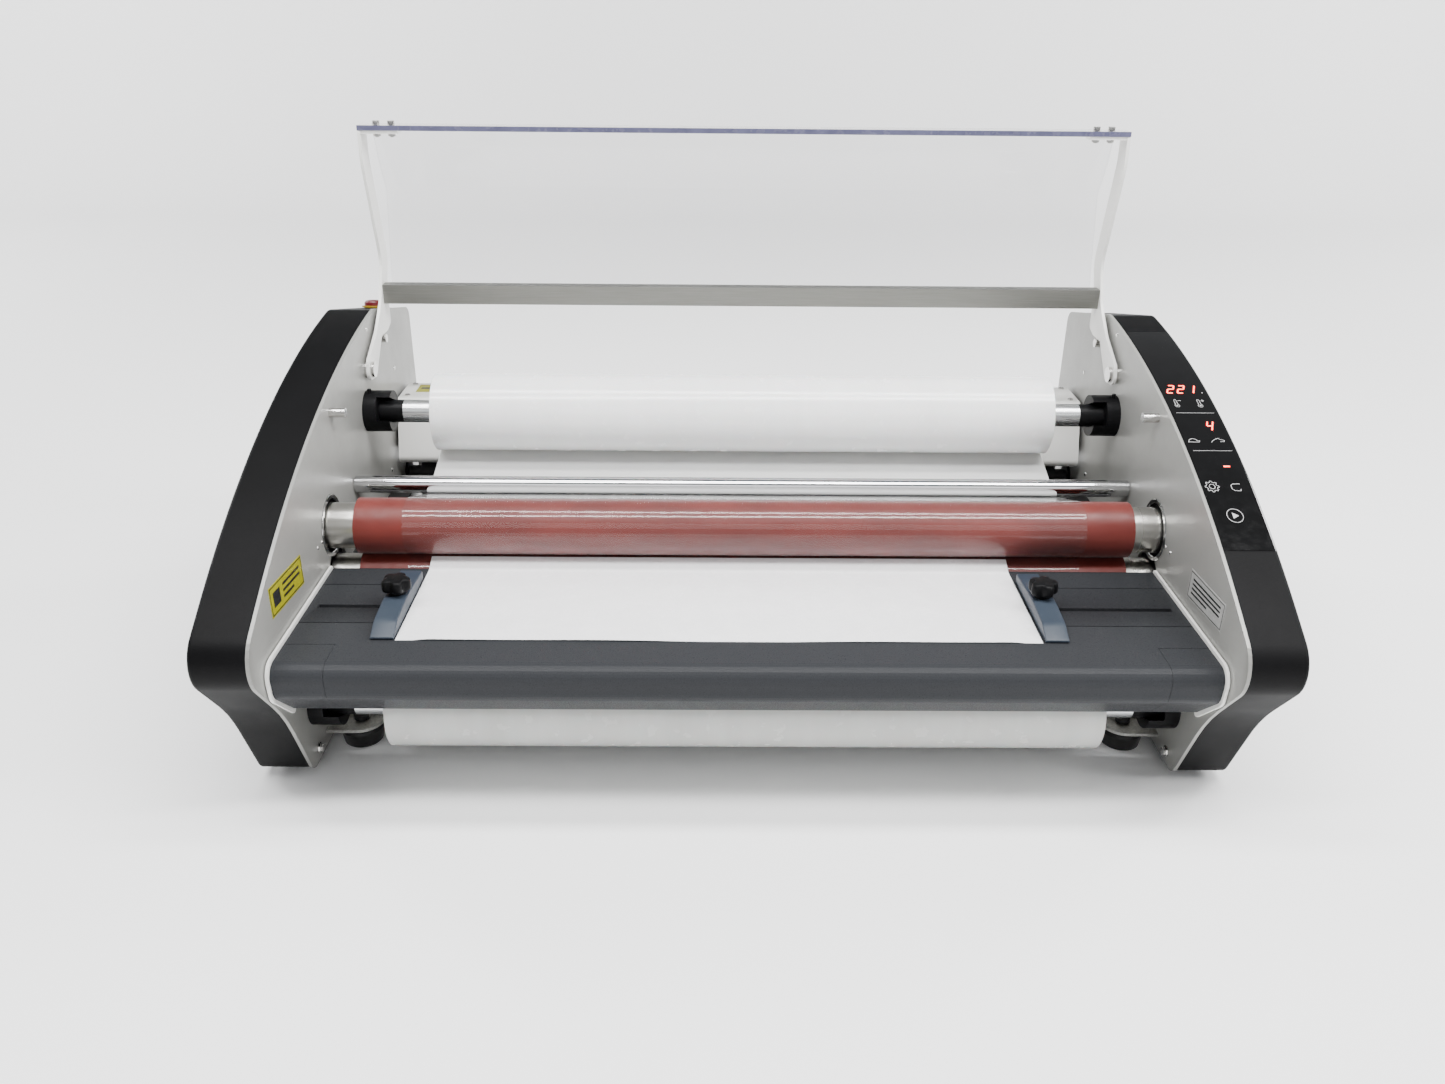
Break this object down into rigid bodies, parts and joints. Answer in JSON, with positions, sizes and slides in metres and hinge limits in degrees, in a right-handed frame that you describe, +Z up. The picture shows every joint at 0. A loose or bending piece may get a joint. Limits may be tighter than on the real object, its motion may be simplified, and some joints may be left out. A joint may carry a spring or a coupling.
{
  "type": "roll laminator",
  "caption": "Desktop heated roll laminator with a raised clear shield, red silicone rollers, film supply rolls, feed table with side guides and black end covers.",
  "frame": {"origin": "on the bench, midway between the end covers and midway front to back", "axes": "+X to the operator's right, +Y to the rear, +Z up"},
  "size_m": [0.88, 0.5881, 0.5298],
  "materials": {
    "side_plate_paint": "semi-gloss powder coat",
    "cover_plastic": "fine-grained black moulding",
    "panel_glass": "gloss black overlay",
    "circuit_board": "solder mask",
    "display_red": "tinted window",
    "pan_paint": "semi-gloss powder coat",
    "cooling_black": "matt black powder coat",
    "housing_paint": "semi-gloss powder coat",
    "inlet_black": "moulded",
    "rocker_red": "polished",
    "fan_black": "moulded",
    "plain_steel": "zinc plated",
    "foot_rubber": "matt",
    "table_slate": "fine textured slate grey powder coat",
    "guide_blue": "satin blue-grey anodised",
    "knob_black": "moulded",
    "bearing_black": "moulded",
    "roller_steel": "turned",
    "silicone_red": "ground silicone",
    "gear_nylon": "moulded",
    "heater_quartz": "frosted tube",
    "pull_rubber": "ground",
    "motor_metal": "plated can",
    "chain_steel": "oiled",
    "idler_chrome": "polished",
    "cup_black": "moulded",
    "mandrel_aluminium": "drawn tube",
    "upper_film": "wound film",
    "lower_film": "wound film",
    "film_web": "clear laminating film",
    "sheet_paper": "smooth coated paper",
    "arm_paint": "semi-gloss powder coat",
    "shield_clear": "clear polycarbonate",
    "bar_aluminium": "satin extrusion",
    "bright_fastener": "bright",
    "stop_yellow": "moulded",
    "stop_red": "moulded",
    "label_film": "printed label"
  },
  "bodies": {
    "frame": {"left_side_plate": "side_plate_paint", "right_side_plate": "side_plate_paint", "left_end_cover": "cover_plastic", "right_end_cover": "cover_plastic", "control_panel": "panel_glass", "control_board": "circuit_board", "led_displays": "display_red", "front_crossbar": "side_plate_paint", "base_pan": "pan_paint", "cooling_plate": "cooling_black", "rear_housing": "housing_paint", "rear_panel": "housing_paint", "power_inlet": "inlet_black", "power_board": "circuit_board", "fan_housing": "fan_black", "foot_brackets": "plain_steel", "rubber_feet": "foot_rubber", "table_top": "table_slate", "table_corner_caps": "table_slate", "table_end_plates": "side_plate_paint", "roller_bearings": "bearing_black", "roller_heaters": "heater_quartz", "pull_roller_bearings": "bearing_black", "drive_motor": "motor_metal", "drive_chain": "chain_steel", "mandrel_cups": "cup_black", "upper_film_web": "film_web", "lower_film_web": "film_web", "loaded_sheet": "sheet_paper", "shield_pivots_and_stops": "bright_fastener", "emergency_stop_base": "stop_yellow", "plate_labels": "label_film"},
    "shield": {"shield_arms": "arm_paint", "shield_panel": "shield_clear", "shield_bar": "bar_aluminium", "shield_screws": "bright_fastener"},
    "upper_roller": {"upper_roller_core": "roller_steel", "upper_roller_sleeve": "silicone_red", "upper_roller_gear": "gear_nylon"},
    "lower_roller": {"lower_roller_core": "roller_steel", "lower_roller_sleeve": "silicone_red", "lower_roller_gear": "gear_nylon"},
    "upper_pull": {"upper_pull_roller": "pull_rubber"},
    "lower_pull": {"lower_pull_roller": "pull_rubber", "pull_roller_sprocket": "gear_nylon"},
    "motor_shaft": {"motor_sprocket": "gear_nylon"},
    "idler": {"idler_bar": "idler_chrome"},
    "upper_supply": {"upper_mandrel_tube": "mandrel_aluminium", "upper_mandrel_ends": "cup_black", "upper_film_roll": "upper_film"},
    "lower_supply": {"lower_mandrel_tube": "mandrel_aluminium", "lower_mandrel_ends": "cup_black", "lower_film_roll": "lower_film"},
    "left_guide_slide": {"left_guide": "guide_blue"},
    "left_clamp": {"left_guide_knob": "knob_black"},
    "right_guide_slide": {"right_guide": "guide_blue"},
    "right_clamp": {"right_guide_knob": "knob_black"},
    "stop_button": {"emergency_stop_button": "stop_red"},
    "rocker": {"power_rocker": "rocker_red"},
    "fan_blades": {"fan_rotor": "fan_black"}
  },
  "joints": [
    {"name": "shield_hinge", "type": "hinge", "parent": "frame", "child": "shield", "pos_m": [0, 0.101, 0.292], "axis": [1, 0, 0], "range_deg": [0, 124]},
    {"name": "upper_roller_spin", "type": "hinge", "parent": "frame", "child": "upper_roller", "pos_m": [0, -0.066, 0.1908], "axis": [1, 0, 0], "continuous": true},
    {"name": "lower_roller_spin", "type": "hinge", "parent": "frame", "child": "lower_roller", "pos_m": [0, -0.066, 0.1376], "axis": [1, 0, 0], "continuous": true},
    {"name": "upper_pull_spin", "type": "hinge", "parent": "frame", "child": "upper_pull", "pos_m": [0, 0.215, 0.172], "axis": [1, 0, 0], "continuous": true},
    {"name": "lower_pull_spin", "type": "hinge", "parent": "frame", "child": "lower_pull", "pos_m": [0, 0.215, 0.132], "axis": [1, 0, 0], "continuous": true},
    {"name": "motor_spin", "type": "hinge", "parent": "frame", "child": "motor_shaft", "pos_m": [0, 0.064, 0.078], "axis": [1, 0, 0], "continuous": true},
    {"name": "idler_spin", "type": "hinge", "parent": "frame", "child": "idler", "pos_m": [0, 0.018, 0.198], "axis": [1, 0, 0], "continuous": true},
    {"name": "upper_supply_spin", "type": "hinge", "parent": "frame", "child": "upper_supply", "pos_m": [0, 0.0889, 0.2511], "axis": [1, 0, 0], "continuous": true},
    {"name": "lower_supply_spin", "type": "hinge", "parent": "frame", "child": "lower_supply", "pos_m": [0, -0.176, 0.066], "axis": [1, 0, 0], "continuous": true},
    {"name": "left_guide_move", "type": "slide", "parent": "frame", "child": "left_guide_slide", "axis": [1, 0, 0], "range_m": [-0.052, 0.008]},
    {"name": "left_knob_turn", "type": "hinge", "parent": "left_guide_slide", "child": "left_clamp", "pos_m": [-0.307, -0.1634, 0.17], "axis": [0, 0, 1], "continuous": true},
    {"name": "right_guide_move", "type": "slide", "parent": "frame", "child": "right_guide_slide", "axis": [1, 0, 0], "range_m": [-0.009, 0.098]},
    {"name": "right_knob_turn", "type": "hinge", "parent": "right_guide_slide", "child": "right_clamp", "pos_m": [0.261, -0.1634, 0.17], "axis": [0, 0, 1], "continuous": true},
    {"name": "emergency_stop_press", "type": "slide", "parent": "frame", "child": "stop_button", "axis": [0, 0.2296, 0.9733], "range_m": [-0.004, 0], "stiffness_N_per_m": 900, "springref_m": 0.003},
    {"name": "power_switch", "type": "hinge", "parent": "frame", "child": "rocker", "pos_m": [0.3, 0.246, 0.098], "axis": [1, 0, 0], "range_deg": [0, 14]},
    {"name": "fan_spin", "type": "hinge", "parent": "frame", "child": "fan_blades", "pos_m": [-0.2, 0.22, 0.21], "axis": [0, 0, 1], "continuous": true}
  ],
  "couplings": [
    {"joint": "lower_roller_spin", "follows": "upper_roller_spin", "ratio": -1},
    {"joint": "lower_pull_spin", "follows": "upper_roller_spin", "ratio": -1.3333},
    {"joint": "upper_pull_spin", "follows": "upper_roller_spin", "ratio": 1.3333},
    {"joint": "motor_spin", "follows": "upper_roller_spin", "ratio": -2}
  ]
}
